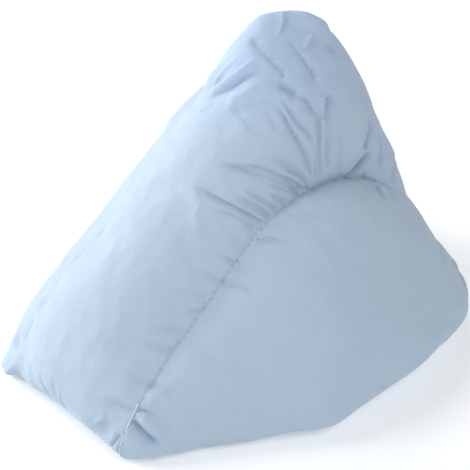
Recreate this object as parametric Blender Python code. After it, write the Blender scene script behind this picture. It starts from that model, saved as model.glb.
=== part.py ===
# Heel support cushion: a soft wedge that lifts the heel of someone lying in bed.
# One long band of cloth runs up the front slope, over the crest, down the back and
# under the cushion, and its two ends meet in a straight seam along the front edge.
# A rounded triangular end panel closes each side. The filling has settled, so the
# end panels belly out low down, the crest is gathered, and the underside lies flat.
#
# Frame in metres: +X from the front edge to the back, +Y from the near end panel to
# the far one, +Z up, with the origin on the ground under the middle of the cushion.

import math

import bmesh
import bpy
import numpy as np

MM = 0.001

# Mesh steps from the front edge to the back edge, across the band, and up an end panel
STEPS_ALONG = 60
STEPS_ACROSS = 18
STEPS_UP = 14

# The band's loop, in millimetres, one row for each station round the cushion.
# near and far are the two seams; crown is how far the cloth stands out between them,
# towards a direction lean degrees above +X; puff is how abruptly it leaves its seams,
# from 1 for a gentle slope to 2 for a full round edge.
BAND_COLUMNS = (
    "near_x", "near_y", "near_z", "far_x", "far_y", "far_z", "crown", "lean", "puff",
)
BAND = {
    "front_edge": (-6, -1, 11, -15, 134, 3, -4, 205, 1.2),
    "front_foot": (11, 1, 39, -1, 131, 21, 10, 150, 1.2),
    "front_low": (42, 6, 66, 21, 127, 48, 18, 137, 1.25),
    "front_mid": (77, 10, 92, 66, 123, 88, 23, 134, 1.25),
    "front_high": (112, 13, 122, 115, 121, 132, 27, 132, 1.3),
    "crest_front": (137, 14, 137, 158, 120, 168, 39, 120, 1.5),
    "crest": (164, 15, 144, 189, 118, 190, 58, 101, 1.7),
    "crest_back": (203, 15, 141, 217, 118, 192, 53, 75, 1.7),
    "back_high": (238, 13, 116, 246, 120, 155, 23, 48, 1.6),
    "back_mid": (266, 8, 78, 272, 125, 105, 10, 33, 1.5),
    "back_low": (289, 4, 42, 291, 129, 56, 7, 15, 1.5),
    "back_edge": (301, -4, 17, 301, 133, 18, 5, -20, 1.5),
    "under_back": (270, -14, 6, 277, 140, 6, 7, -80, 1.5),
    "under_mid": (158, -24, 3, 161, 150, 3, 9, -90, 1.5),
    "under_front": (42, -8, 4, 42, 140, 4, 7, -100, 1.4),
}
BACK_EDGE = list(BAND).index("back_edge")
ARCH_POWER = 2.2

# The end panels, from the front corner (along 0) to the back corner (along 1): how far
# each one bellies out past its seams and how far its filling has dropped, in millimetres,
# and puff at its upper seam. Near the ground both panels are full and round.
PANEL_COLUMNS = ("along", "near_belly", "far_belly", "drop", "puff")
PANELS = {
    "front_corner": (0.00, 0, 0, 0, 1.3),
    "front_tuck": (0.06, 10, 12, 1, 1.3),
    "front_third": (0.22, 30, 31, 6, 1.35),
    "under_crest": (0.50, 58, 50, 12, 1.5),
    "back_third": (0.72, 42, 42, 7, 1.5),
    "back_tuck": (0.93, 17, 16, 4, 1.5),
    "back_corner": (1.00, 0, 0, 0, 1.5),
}
GROUND_PUFF = 2.1

# The main folds. Each one runs over a face of the cover from a start to an end, given as
# along (0 at the front edge, 1 at the back) and across: up from the near seam (0) to the
# far one (1) on the band, and from the ground (0) to the seam (1) on an end panel.
# It is depth deep at its start and fades out; width is half its spread, in millimetres.
FOLD_COLUMNS = (
    "face", "from_along", "from_across", "to_along", "to_across", "depth", "width",
)
FOLDS = {
    "front_pull": ("band", 0.44, 0.02, 0.38, 0.52, 2.5, 7),
    "gather_front": ("band", 0.55, 0.00, 0.48, 0.14, 2.5, 7),
    "gather_middle": ("band", 0.56, 0.03, 0.54, 0.30, 3.5, 7),
    "gather_top": ("band", 0.58, 0.03, 0.59, 0.36, 3.0, 7),
    "deep_tuck": ("band", 0.62, 0.00, 0.65, 0.24, 5.5, 7),
    "back_gather": ("band", 0.69, 0.02, 0.68, 0.22, 3.0, 7),
    "crest_dent": ("band", 0.55, 0.33, 0.54, 0.72, 3.5, 8),
    "crest_dent_back": ("band", 0.58, 0.30, 0.56, 0.66, 2.5, 8),
    "far_gather": ("band", 0.47, 0.88, 0.52, 0.56, 3.0, 8),
    "far_gather_back": ("band", 0.62, 0.98, 0.63, 0.66, 3.0, 8),
    "back_pull": ("band", 0.74, 0.98, 0.72, 0.56, 3.0, 8),
    "near_tuck": ("near", 0.65, 1.00, 0.62, 0.86, 3.5, 9),
    "far_tuck": ("far", 0.58, 1.00, 0.57, 0.84, 3.5, 9),
    "near_corner": ("near", 0.08, 0.94, 0.12, 0.40, 1.5, 6),
}

COVER_COLOUR = (0.42, 0.57, 0.74, 1.0)
COVER_ROUGHNESS = 0.75


def smooth_rows(knots, values, places, closed=False):
    """A smooth curve through the rows of values at the knots, read at each place."""
    gaps = np.diff(knots)[:, None]
    rise = np.diff(values, axis=0) / gaps
    slopes = np.empty_like(values)
    slopes[1:-1] = (rise[:-1] * gaps[1:] + rise[1:] * gaps[:-1]) / (gaps[:-1] + gaps[1:])
    ends = (rise[-1] + rise[0]) / 2
    slopes[0] = ends if closed else rise[0]
    slopes[-1] = ends if closed else rise[-1]
    start = np.clip(np.searchsorted(knots, places, side="right") - 1, 0, len(knots) - 2)
    gap = gaps[start]
    part = ((places - knots[start])[:, None]) / gap
    near_end = (1 + 2 * part) * (1 - part) ** 2
    leave = part * (1 - part) ** 2
    arrive = part**2 * (part - 1)
    level = near_end * values[start] + (1 - near_end) * values[start + 1]
    return level + gap * (leave * slopes[start] + arrive * slopes[start + 1])


def band_rows():
    """The band's columns at every step: over the top to the back edge, then underneath."""
    values = np.array([*BAND.values(), BAND["front_edge"]], float)
    strides = np.linalg.norm(np.diff(values[:, :6], axis=0), axis=1) ** 0.8
    knots = np.concatenate([[0.0], np.cumsum(strides)])
    over = np.linspace(0, knots[BACK_EDGE], STEPS_ALONG, endpoint=False)
    under = np.linspace(knots[BACK_EDGE], knots[-1], STEPS_ALONG, endpoint=False)
    lean = np.radians(values[:, 7])
    values = np.column_stack([values[:, :7], np.cos(lean), np.sin(lean), values[:, 8]])
    return smooth_rows(knots, values, np.concatenate([over, under]), closed=True)


def band_points(rows, across):
    """The band at one share of the way from its near seam (0) to its far seam (1)."""
    outward = np.column_stack([rows[:, 7], np.zeros(len(rows)), rows[:, 8]])
    outward /= np.linalg.norm(outward, axis=1)[:, None]
    rise = (1 - abs(2 * across - 1) ** ARCH_POWER) ** (1 / rows[:, 9:10])
    return rows[:, 0:3] * (1 - across) + rows[:, 3:6] * across + outward * rows[:, 6:7] * rise


def panel_points(seam, belly_column, side):
    """An end panel as a grid of points: along from the front corner, up from the ground."""
    table = np.array(list(PANELS.values()), float)
    along = np.linspace(0, 1, STEPS_ALONG + 1)
    shape = smooth_rows(table[:, 0], table, along)
    over = seam[np.arange(STEPS_ALONG + 1)]
    under = seam[-np.arange(STEPS_ALONG + 1)]
    up = (0.5 - 0.5 * np.cos(np.linspace(0, math.pi, STEPS_UP + 1)))[None, :]
    grid = under[:, None] * (1 - up[..., None]) + over[:, None] * up[..., None]
    low, high = 1 / GROUND_PUFF, 1 / shape[:, 4:5]
    widest = low / (low + high)
    swell = (up / widest) ** low * ((1 - up) / (1 - widest)) ** high
    grid[..., 1] += side * shape[:, belly_column, None] * swell
    grid[..., 2] -= shape[:, 3, None] * swell
    return grid


def cushion_surface():
    """Vertices in millimetres and faces of the whole closed cover."""
    rows = band_rows()
    around = len(rows)
    across = 0.5 - 0.5 * np.cos(np.linspace(0, math.pi, STEPS_ACROSS + 1))
    points = [point for share in across for point in band_points(rows, share)]
    faces = []
    for row in range(STEPS_ACROSS):
        for k in range(around):
            n = (k + 1) % around
            low, high = row * around, (row + 1) * around
            faces.append((low + k, low + n, high + n, high + k))

    half = np.arange(STEPS_ALONG + 1)
    grids = {"band": np.arange(STEPS_ACROSS + 1)[None, :] * around + half[:, None]}
    for face, seam_row, belly_column, side in (("near", 0, 1, -1), ("far", STEPS_ACROSS, 2, 1)):
        first = seam_row * around
        seam = np.array(points[first:first + around])
        grid = panel_points(seam, belly_column, side)
        names = np.empty(grid.shape[:2], int)
        for i in range(STEPS_ALONG + 1):
            for j in range(STEPS_UP + 1):
                if j == STEPS_UP or i in (0, STEPS_ALONG):
                    names[i, j] = first + i
                elif j == 0:
                    names[i, j] = first + around - i
                else:
                    names[i, j] = len(points)
                    points.append(grid[i, j])
        for i in range(STEPS_ALONG):
            for j in range(STEPS_UP):
                corners = (names[i, j], names[i, j + 1], names[i + 1, j + 1], names[i + 1, j])
                faces.append(tuple(int(c) for c in dict.fromkeys(corners[::side])))
        grids[face] = names
    return np.array(points), faces, grids


def read_grid(points, grid, along, across):
    """The point of a face at shares along and across it."""
    place = along * (grid.shape[0] - 1), math.acos(1 - 2 * across) / math.pi * (grid.shape[1] - 1)
    i, j = (min(int(value), size - 2) for value, size in zip(place, grid.shape))
    s, t = place[0] - i, place[1] - j
    low = points[grid[i, j]] * (1 - s) + points[grid[i + 1, j]] * s
    high = points[grid[i, j + 1]] * (1 - s) + points[grid[i + 1, j + 1]] * s
    return low * (1 - t) + high * t


def fold_shift(points, grids):
    """How far every vertex moves along its normal for the folds, in millimetres."""
    shift = np.zeros(len(points))
    shares = np.linspace(0, 1, 25)
    for face, along_0, across_0, along_1, across_1, depth, width in FOLDS.values():
        along = along_0 + (along_1 - along_0) * shares
        across = across_0 + (across_1 - across_0) * shares
        line = np.array([read_grid(points, grids[face], a, c) for a, c in zip(along, across)])
        names = np.unique(grids[face])
        reach = np.linalg.norm(points[names, None] - line[None], axis=2)
        nearest = reach.argmin(axis=1)
        spread = reach.min(axis=1) / width
        groove = np.exp(-spread**2) - 0.3 * np.exp(-((spread - 1.9) ** 2))
        shift[names] -= depth * (1 - shares[nearest] ** 2) * groove
    return shift


def cover_material():
    """Pale blue cotton."""
    material = bpy.data.materials.new("cover")
    material.use_nodes = True
    shader = material.node_tree.nodes["Principled BSDF"]
    shader.inputs["Base Color"].default_value = COVER_COLOUR
    shader.inputs["Roughness"].default_value = COVER_ROUGHNESS
    shader.inputs["Metallic"].default_value = 0.0
    return material


def build_cushion():
    """The cushion as one closed solid, flat where it rests on the ground."""
    points, faces, grids = cushion_surface()
    mesh = bpy.data.meshes.new("cushion")
    mesh.from_pydata([tuple(point) for point in points], [], faces)
    normals = np.array([vertex.normal for vertex in mesh.vertices])
    points += normals * fold_shift(points, grids)[:, None]
    points[:, 2] = np.maximum(points[:, 2], 0.0)
    points[:, :2] -= (points[:, :2].min(axis=0) + points[:, :2].max(axis=0)) / 2
    mesh.vertices.foreach_set("co", (points * MM).ravel())

    work = bmesh.new()
    work.from_mesh(mesh)
    bmesh.ops.recalc_face_normals(work, faces=work.faces)
    bmesh.ops.triangulate(work, faces=work.faces)
    work.to_mesh(mesh)
    work.free()
    mesh.shade_smooth()
    mesh.materials.append(cover_material())
    cushion = bpy.data.objects.new("cushion", mesh)
    bpy.context.scene.collection.objects.link(cushion)
    return cushion


for old in list(bpy.data.objects):
    bpy.data.objects.remove(old)
build_cushion()
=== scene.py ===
# %% [markdown]
# # A heel support cushion
# This is a soft wedge that raises the heel of someone lying in bed. A long band of pale
# blue cotton runs up the front, over a leaning crest, down the back and underneath, and a
# rounded end panel closes each side. The cover is loosely filled, so everything that makes
# it look real is in how the cloth gives: bellies low down, gathers along the seams, a few
# deep creases at the crest. We begin with the measured solid, which fixes place and size.

# %% The measured solid
import math
import time

import bmesh
import bpy
import numpy as np
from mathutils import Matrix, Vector, noise
from mathutils.bvhtree import BVHTree
from mathutils.kdtree import KDTree


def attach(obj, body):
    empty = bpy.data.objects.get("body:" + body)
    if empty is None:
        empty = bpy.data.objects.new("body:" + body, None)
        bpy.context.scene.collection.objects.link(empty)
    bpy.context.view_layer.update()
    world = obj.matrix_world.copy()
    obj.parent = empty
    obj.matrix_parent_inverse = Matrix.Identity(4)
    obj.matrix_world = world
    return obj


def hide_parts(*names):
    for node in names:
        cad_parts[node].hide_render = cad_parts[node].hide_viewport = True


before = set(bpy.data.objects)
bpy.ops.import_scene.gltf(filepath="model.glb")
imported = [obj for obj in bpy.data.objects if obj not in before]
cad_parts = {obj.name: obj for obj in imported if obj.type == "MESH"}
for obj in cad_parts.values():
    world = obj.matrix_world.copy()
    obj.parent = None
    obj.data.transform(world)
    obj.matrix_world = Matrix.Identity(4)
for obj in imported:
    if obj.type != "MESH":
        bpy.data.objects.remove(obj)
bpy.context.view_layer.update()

MM = 0.001

# %% [markdown]
# ## Where we look from
# The camera comes first, because many creases are easier to place by where they are seen
# than by measuring them. It stands about a metre and a half away with a long lens, as for
# a catalogue picture, so the far side is hardly smaller than the near one.

# %% Camera
PICTURE = 470
LENS_MM = 150
SENSOR_MM = 36
CAMERA_AZIMUTH = -37
CAMERA_ELEVATION = 36
CAMERA_DISTANCE = 1.3706
CAMERA_AIM = Vector((-5.8, 2.6, 91.0)) * MM

turn, lift = math.radians(CAMERA_AZIMUTH), math.radians(CAMERA_ELEVATION)
towards_camera = Vector((
    math.sin(turn) * math.cos(lift), -math.cos(turn) * math.cos(lift), math.sin(lift),
))
camera_data = bpy.data.cameras.new("camera")
camera_data.lens = LENS_MM
camera_data.sensor_width = SENSOR_MM
camera_data.clip_start = 0.05
camera_data.clip_end = 20
camera = bpy.data.objects.new("camera", camera_data)
camera.location = CAMERA_AIM + towards_camera * CAMERA_DISTANCE
camera.rotation_mode = "QUATERNION"
camera.rotation_quaternion = (-towards_camera).to_track_quat("-Z", "Y")
bpy.context.scene.collection.objects.link(camera)
bpy.context.scene.camera = camera
print("camera at", [round(v, 3) for v in camera.location])

# %% [markdown]
# ## Floor and light
# The cushion stands on a white sweep under soft round lamps. The strongest is a low window
# on the far side, which washes out the left edge of the slope. A higher one models the slope
# and the crest, two broad ones fill the near panel and the back, and a weak low one from the
# left keeps the front open. The floor glows a little, so that it photographs as plain white.

# %% Floor
FLOOR_HALF = 6.0
floor_mesh = bpy.data.meshes.new("floor")
floor_mesh.from_pydata(
    [(x * FLOOR_HALF, y * FLOOR_HALF, 0.0) for x, y in ((-1, -1), (1, -1), (1, 1), (-1, 1))],
    [], [(0, 1, 2, 3)],
)
floor = bpy.data.objects.new("floor", floor_mesh)
bpy.context.scene.collection.objects.link(floor)
floor_paper = bpy.data.materials.new("floor_paper")
floor_paper.use_nodes = True
floor_shader = floor_paper.node_tree.nodes["Principled BSDF"]
floor_shader.inputs["Base Color"].default_value = (0.93, 0.935, 0.94, 1)
floor_shader.inputs["Roughness"].default_value = 0.9
floor_shader.inputs["Specular IOR Level"].default_value = 0.1
floor_shader.inputs["Emission Color"].default_value = (1, 1, 1, 1)
floor_shader.inputs["Emission Strength"].default_value = 0.2
floor_mesh.materials.append(floor_paper)

# %% Lights
bpy.context.scene.view_settings.view_transform = "Standard"
world = bpy.data.worlds.new("studio")
world.use_nodes = True
world.node_tree.nodes["Background"].inputs["Color"].default_value = (0.95, 0.97, 1.0, 1)
world.node_tree.nodes["Background"].inputs["Strength"].default_value = 0.22
bpy.context.scene.world = world

# name: degrees round from +X, degrees up, watts
LAMPS = {
    "low_window": (112, 9, 42.0),
    "high_window": (150, 45, 17.4),
    "low_left": (188, 12, 5.0),
    "near_panel": (270, 45, 22.0),
    "back_panel": (60, 40, 9.5),
}
LAMP_DISTANCE = 2.2
LAMP_SIZE = 1.1
for name, (around, up, watts) in LAMPS.items():
    around, up = math.radians(around), math.radians(up)
    away = Vector((math.cos(around) * math.cos(up), math.sin(around) * math.cos(up), math.sin(up)))
    lamp = bpy.data.lights.new(name, "AREA")
    lamp.shape = "DISK"
    lamp.size = LAMP_SIZE
    lamp.energy = watts
    holder = bpy.data.objects.new(name, lamp)
    holder.location = CAMERA_AIM + away * LAMP_DISTANCE
    holder.rotation_mode = "QUATERNION"
    holder.rotation_quaternion = away.to_track_quat("Z", "Y")
    bpy.context.scene.collection.objects.link(holder)
print("lamps:", len(LAMPS))

# %% [markdown]
# ## The cover's pattern pieces
# A sewn cover is easiest to describe as its maker cuts it: one band and two end panels.
# Each row of the table is a station along the band, with its two seams, how far the cloth
# crowns between them and which way, and how abruptly it leaves the seams. The rows repeat
# the solid's own sizes, so the soft cover starts exactly on it.

# %% Pattern tables in millimetres
def number_table(text):
    """Rows of numbers by name, from lines that each have a name and then its numbers."""
    rows = [line.split() for line in text.strip().splitlines()]
    return {name: [float(word) for word in words] for name, *words in rows}


# name, near seam x y z, far seam x y z, crown, the way it crowns in degrees, puff
BAND = number_table("""
front_edge -6 -1 11 -15 134 3 -4 205 1.2
front_foot 11 1 39 -1 131 21 10 150 1.2
front_low 42 6 66 21 127 48 18 137 1.25
front_mid 77 10 92 66 123 88 23 134 1.25
front_high 112 13 122 115 121 132 27 132 1.3
crest_front 137 14 137 158 120 168 39 120 1.5
crest 164 15 144 189 118 190 58 101 1.7
crest_back 203 15 141 217 118 192 53 75 1.7
back_high 238 13 116 246 120 155 23 48 1.6
back_mid 266 8 78 272 125 105 10 33 1.5
back_low 289 4 42 291 129 56 7 15 1.5
back_edge 301 -4 17 301 133 18 5 -20 1.5
under_back 270 -14 6 277 140 6 7 -80 1.5
under_mid 158 -24 3 161 150 3 9 -90 1.5
under_front 42 -8 4 42 140 4 7 -100 1.4
""")
BACK_EDGE = list(BAND).index("back_edge")
ARCH_POWER = 2.2
# name, share along the seam, near belly, far belly, drop, puff
PANELS = number_table("""
front_corner 0 0 0 0 1.3
front_tuck 0.06 10 12 1 1.3
front_third 0.22 30 31 6 1.35
under_crest 0.5 58 50 12 1.5
back_third 0.72 42 42 7 1.5
back_tuck 0.93 17 16 4 1.5
back_corner 1 0 0 0 1.5
""")
GROUND_PUFF = 2.1
MIDDLE_X = 145.8
MIDDLE_Y = 60.4
print("stations:", len(BAND), "on the band,", len(PANELS), "on the panels")

# %% Smooth curves through a table
def smooth_rows(knots, values, places, closed=False):
    """A smooth curve through the rows of values at the knots, read at each place."""
    gaps = np.diff(knots)[:, None]
    rise = np.diff(values, axis=0) / gaps
    slopes = np.empty_like(values)
    slopes[1:-1] = (rise[:-1] * gaps[1:] + rise[1:] * gaps[:-1]) / (gaps[:-1] + gaps[1:])
    ends = (rise[-1] + rise[0]) / 2
    slopes[0] = ends if closed else rise[0]
    slopes[-1] = ends if closed else rise[-1]
    start = np.clip(np.searchsorted(knots, places, side="right") - 1, 0, len(knots) - 2)
    gap = gaps[start]
    part = ((places - knots[start])[:, None]) / gap
    near_end = (1 + 2 * part) * (1 - part) ** 2
    leave = part * (1 - part) ** 2
    arrive = part**2 * (part - 1)
    level = near_end * values[start] + (1 - near_end) * values[start + 1]
    return level + gap * (leave * slopes[start] + arrive * slopes[start + 1])

# %% The three pattern pieces as grids of points
STEPS_ALONG = 92
STEPS_ACROSS = 44
STEPS_UP = 34


def closer_at_ends(steps):
    """Shares from 0 to 1, closer together near both ends, where the seams are."""
    even = np.linspace(0, 1, steps + 1)
    return 0.5 * even + 0.5 * (0.5 - 0.5 * np.cos(even * math.pi))


across_shares = closer_at_ends(STEPS_ACROSS)
up_shares = closer_at_ends(STEPS_UP)


def band_rows():
    """The band's columns at every step: over the top to the back edge, then underneath."""
    values = np.array([*BAND.values(), BAND["front_edge"]], float)
    strides = np.linalg.norm(np.diff(values[:, :6], axis=0), axis=1) ** 0.8
    knots = np.concatenate([[0.0], np.cumsum(strides)])
    over = np.linspace(0, knots[BACK_EDGE], STEPS_ALONG, endpoint=False)
    under = np.linspace(knots[BACK_EDGE], knots[-1], STEPS_ALONG, endpoint=False)
    lean = np.radians(values[:, 7])
    values = np.column_stack([values[:, :7], np.cos(lean), np.sin(lean), values[:, 8]])
    return smooth_rows(knots, values, np.concatenate([over, under]), closed=True)


def band_points(rows, across):
    """The band at one share of the way from its near seam (0) to its far seam (1)."""
    outward = np.column_stack([rows[:, 7], np.zeros(len(rows)), rows[:, 8]])
    outward /= np.linalg.norm(outward, axis=1)[:, None]
    rise = (1 - abs(2 * across - 1) ** ARCH_POWER) ** (1 / rows[:, 9:10])
    return rows[:, 0:3] * (1 - across) + rows[:, 3:6] * across + outward * rows[:, 6:7] * rise


def panel_points(seam, belly_column, side):
    """An end panel as a grid of points: along from the front corner, up from the ground."""
    table = np.array(list(PANELS.values()), float)
    along = np.linspace(0, 1, STEPS_ALONG + 1)
    shape = smooth_rows(table[:, 0], table, along)
    over = seam[np.arange(STEPS_ALONG + 1)]
    under = seam[-np.arange(STEPS_ALONG + 1)]
    up = up_shares[None, :]
    grid = under[:, None] * (1 - up[..., None]) + over[:, None] * up[..., None]
    low, high = 1 / GROUND_PUFF, 1 / shape[:, 4:5]
    widest = low / (low + high)
    swell = (up / widest) ** low * ((1 - up) / (1 - widest)) ** high
    grid[..., 1] += side * shape[:, belly_column, None] * swell
    grid[..., 2] -= shape[:, 3, None] * swell
    return grid

# %% Sewing the pieces into one closed mesh
BAND_FACE, NEAR_FACE, FAR_FACE = 0, 1, 2


def sewn_cover():
    """Points in metres, faces, the pattern piece of each face, and each piece's point grid."""
    rows = band_rows()
    around = len(rows)
    points = [point for share in across_shares for point in band_points(rows, share)]
    faces, piece_of = [], []
    for row in range(STEPS_ACROSS):
        for k in range(around):
            n = (k + 1) % around
            low, high = row * around, (row + 1) * around
            faces.append((low + k, low + n, high + n, high + k))
            piece_of.append(BAND_FACE)
    columns = np.arange(around + 1) % around
    grids = {BAND_FACE: np.arange(STEPS_ACROSS + 1)[None, :] * around + columns[:, None]}
    for piece, seam_row, belly_column, side in (
        (NEAR_FACE, 0, 1, -1), (FAR_FACE, STEPS_ACROSS, 2, 1),
    ):
        first = seam_row * around
        seam = np.array(points[first:first + around])
        grid = panel_points(seam, belly_column, side)
        names = np.empty(grid.shape[:2], int)
        for i in range(STEPS_ALONG + 1):
            for j in range(STEPS_UP + 1):
                if j == STEPS_UP or i in (0, STEPS_ALONG):
                    names[i, j] = first + i
                elif j == 0:
                    names[i, j] = first + around - i
                else:
                    names[i, j] = len(points)
                    points.append(grid[i, j])
        for i in range(STEPS_ALONG):
            for j in range(STEPS_UP):
                corners = (names[i, j], names[i, j + 1], names[i + 1, j + 1], names[i + 1, j])
                faces.append(tuple(int(c) for c in dict.fromkeys(corners[::side])))
                piece_of.append(piece)
        grids[piece] = names
    points = np.array(points) - (MIDDLE_X, MIDDLE_Y, 0)
    points[:, 2] = np.maximum(points[:, 2], 0)
    return points * MM, faces, np.array(piece_of), grids


cover_points, cover_faces, face_piece, grids = sewn_cover()
AROUND = 2 * STEPS_ALONG
near_seam = np.arange(AROUND)
far_seam = STEPS_ACROSS * AROUND + near_seam
print("cover:", len(cover_points), "points,", len(cover_faces), "faces")


def make_mesh(name, points, faces):
    """A smooth mesh object from points in metres."""
    mesh = bpy.data.meshes.new(name)
    mesh.from_pydata([tuple(point) for point in points], [], faces)
    mesh.shade_smooth()
    made = bpy.data.objects.new(name, mesh)
    bpy.context.scene.collection.objects.link(made)
    return made


def read_rows(items, field):
    """A field of three numbers of many items, as rows."""
    flat = np.empty(len(items) * 3)
    items.foreach_get(field, flat)
    return flat.reshape(-1, 3)


def read_points(mesh):
    """A mesh's points as rows of x, y, z."""
    return read_rows(mesh.vertices, "co")

# %% [markdown]
# ## Letting the filling push
# On the real cushion the cover is cut larger than the body it holds, and the machine draws
# the extra cloth up along the seams. A cloth simulation gives that in a natural way: the
# seams are pinned where they are sewn, the cloth beside them is told to be longer than it
# looks, and the filling presses outward. It buckles into small tucks across each seam.
# The puffing is capped, so that the cushion keeps the size of the solid.

# %% Cloth under pressure
SEAM_REACH = 22 * MM
FRAMES = 22
PUFF_CAP = 5 * MM
CREST_FROM = 90 * MM
RESTING_BELOW = 0.5 * MM
CLOTH = {
    "quality": 5, "mass": 0.25, "vertex_group_mass": "sewn", "vertex_group_shrink": "spare",
    "tension_stiffness": 12, "compression_stiffness": 12, "shear_stiffness": 4,
    "bending_stiffness": 0.12, "tension_damping": 8, "compression_damping": 8,
    "shrink_min": -0.01, "shrink_max": -0.10,
    "use_pressure": True, "uniform_pressure_force": 4.0,
}


def distance_to(points, line):
    """How far each point is from the nearest point of a line, and which point that is."""
    tree = KDTree(len(line))
    for index, point in enumerate(line):
        tree.insert(point, index)
    tree.balance()
    found = [tree.find(point) for point in points]
    return np.array([hit[2] for hit in found]), np.array([hit[1] for hit in found])


seam_points = np.concatenate([near_seam, far_seam])
seam_gap, nearest_seam = distance_to(cover_points, cover_points[seam_points])
beside_seam = np.exp(-(seam_gap / SEAM_REACH) ** 2)
height = cover_points[:, 2]
crest_share = np.clip((height - CREST_FROM) / CREST_FROM, 0, 1)
spare_cloth = beside_seam * (0.55 + 0.45 * crest_share)


def simulate_cover():
    """The cover's points after the filling has pushed it out, before the cap."""
    cloth_object = make_mesh("cover_cloth", cover_points, cover_faces)
    pins = cloth_object.vertex_groups.new(name="sewn")
    pins.add([int(v) for v in seam_points], 1.0, "REPLACE")
    resting = [int(v) for v in np.flatnonzero(height < RESTING_BELOW)]
    pins.add(resting, 1.0, "REPLACE")
    spare = cloth_object.vertex_groups.new(name="spare")
    for index, share in enumerate(spare_cloth):
        spare.add([index], float(share), "REPLACE")
    cloth = cloth_object.modifiers.new("cloth", "CLOTH")
    for name, value in CLOTH.items():
        setattr(cloth.settings, name, value)
    cloth.settings.effector_weights.gravity = 0.0
    cloth.collision_settings.use_collision = False
    scene = bpy.context.scene
    scene.frame_start = 1
    scene.frame_end = FRAMES
    cloth.point_cache.frame_end = FRAMES
    for step in range(1, FRAMES + 1):
        scene.frame_set(step)
    evaluated = cloth_object.evaluated_get(bpy.context.evaluated_depsgraph_get())
    settled = read_points(evaluated.data)
    scene.frame_set(1)
    bpy.data.objects.remove(cloth_object)
    return settled


started = time.time()
moved = simulate_cover() - cover_points
reach = np.linalg.norm(moved, axis=1)
print("cloth moved up to %.1f mm, mean %.1f mm, in %.0f s" % (
    reach.max() / MM, reach.mean() / MM, time.time() - started))
held = PUFF_CAP * np.tanh(reach / PUFF_CAP) / np.maximum(reach, 1e-9)
puffed_points = cover_points + moved * held[:, None]
puffed_points[:, 2] = np.maximum(puffed_points[:, 2], 0)

# %% [markdown]
# ## Rounding the cover
# One level of subdivision takes the corners off the grid. The seams are marked as partly
# creased, so that they stay drawn in between the swollen pieces. Each face also gets its
# place on its own flat piece of cloth, which the weave needs later.

# %% Subdividing the cover
SEAM_CREASE = 0.6
BAND_WIDTH = 155 * MM
BELLY_UNROLL = 0.35


def lay_flat(mesh):
    """Give each face its place on its flat pattern piece, in metres, for the weave."""
    flat = mesh.uv_layers.new(name="cloth")
    places = read_points(mesh)
    middle_row = places[(STEPS_ACROSS // 2) * AROUND + np.arange(AROUND + 1) % AROUND]
    middle_row[-1] = places[(STEPS_ACROSS // 2) * AROUND]
    run = np.concatenate([[0], np.cumsum(np.linalg.norm(np.diff(middle_row, axis=0), axis=1))])
    for face in mesh.polygons:
        corners = list(face.vertices)
        if face_piece[face.index] == BAND_FACE:
            columns = [corner % AROUND for corner in corners]
            wraps = max(columns) - min(columns) > 1
            for loop, corner, column in zip(face.loop_indices, corners, columns):
                column = AROUND if wraps and column == 0 else column
                share = across_shares[corner // AROUND]
                flat.data[loop].uv = (run[column], share * BAND_WIDTH)
        else:
            for loop, corner in zip(face.loop_indices, corners):
                x, y, z = places[corner]
                flat.data[loop].uv = (x, z + BELLY_UNROLL * abs(y))


def subdivided(points):
    """The cover subdivided once, with its seams kept crisp, as a new object."""
    rough = make_mesh("cushion_cover", points, cover_faces)
    mesh = rough.data
    lay_flat(mesh)
    piece_marks = mesh.attributes.new("piece", "INT", "FACE")
    piece_marks.data.foreach_set("value", face_piece.astype(np.int32))
    sewn = set(int(v) for v in seam_points)
    crisp = mesh.attributes.new("crease_edge", "FLOAT", "EDGE")
    for edge in mesh.edges:
        a, b = edge.vertices
        if a in sewn and b in sewn and abs(a - b) in (1, AROUND - 1):
            crisp.data[edge.index].value = SEAM_CREASE
    finer = rough.modifiers.new("finer", "SUBSURF")
    finer.levels = finer.render_levels = 1
    evaluated = rough.evaluated_get(bpy.context.evaluated_depsgraph_get())
    fine_mesh = bpy.data.meshes.new_from_object(evaluated)
    rough.modifiers.clear()
    rough.data = fine_mesh
    return rough


cover = subdivided(puffed_points)
fine = read_points(cover.data)
print("fine cover:", len(cover.data.polygons), "faces")

# %% Reading the fine cover
def pieces_at_points(mesh):
    """For each point, which of the three pattern pieces it belongs to."""
    marks = np.empty(len(mesh.polygons), np.int32)
    mesh.attributes["piece"].data.foreach_get("value", marks)
    sizes = np.empty(len(mesh.polygons), np.int32)
    mesh.polygons.foreach_get("loop_total", sizes)
    corners = np.empty(len(mesh.loops), np.int32)
    mesh.loops.foreach_get("vertex_index", corners)
    touches = np.zeros((len(mesh.vertices), 3), bool)
    touches[corners, np.repeat(marks, sizes)] = True
    return touches


def cloth_tree(mesh):
    """A search tree of the cloth's faces, for finding where a line of sight lands."""
    return BVHTree.FromPolygons(read_points(mesh).tolist(), [p.vertices[:] for p in mesh.polygons])


touches = pieces_at_points(cover.data)
print("points on a seam:", int((touches.sum(axis=1) > 1).sum()))

# %% [markdown]
# ## Settling the filling
# Loose filling never fills a cover as evenly as a pattern says. These are the small broad
# shifts of a few millimetres that bring the soft outline to the photographed one: a flatter
# top, a fuller lower belly, a front edge that creeps forward. Each is a place in the
# picture, a shift in the cushion's own axes and the distance over which it fades.

# %% Broad shifts
FOCAL = PICTURE * LENS_MM / SENSOR_MM
camera_right = Vector((math.cos(turn), math.sin(turn), 0))
camera_up = towards_camera.cross(camera_right)


def seen_at(tree, x, y):
    """The point of the cloth that the camera sees at a place in the picture."""
    ray = camera_right * (x - PICTURE / 2) - camera_up * (y - PICTURE / 2)
    return tree.ray_cast(camera.location, (ray / FOCAL - towards_camera).normalized())[0]


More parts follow.
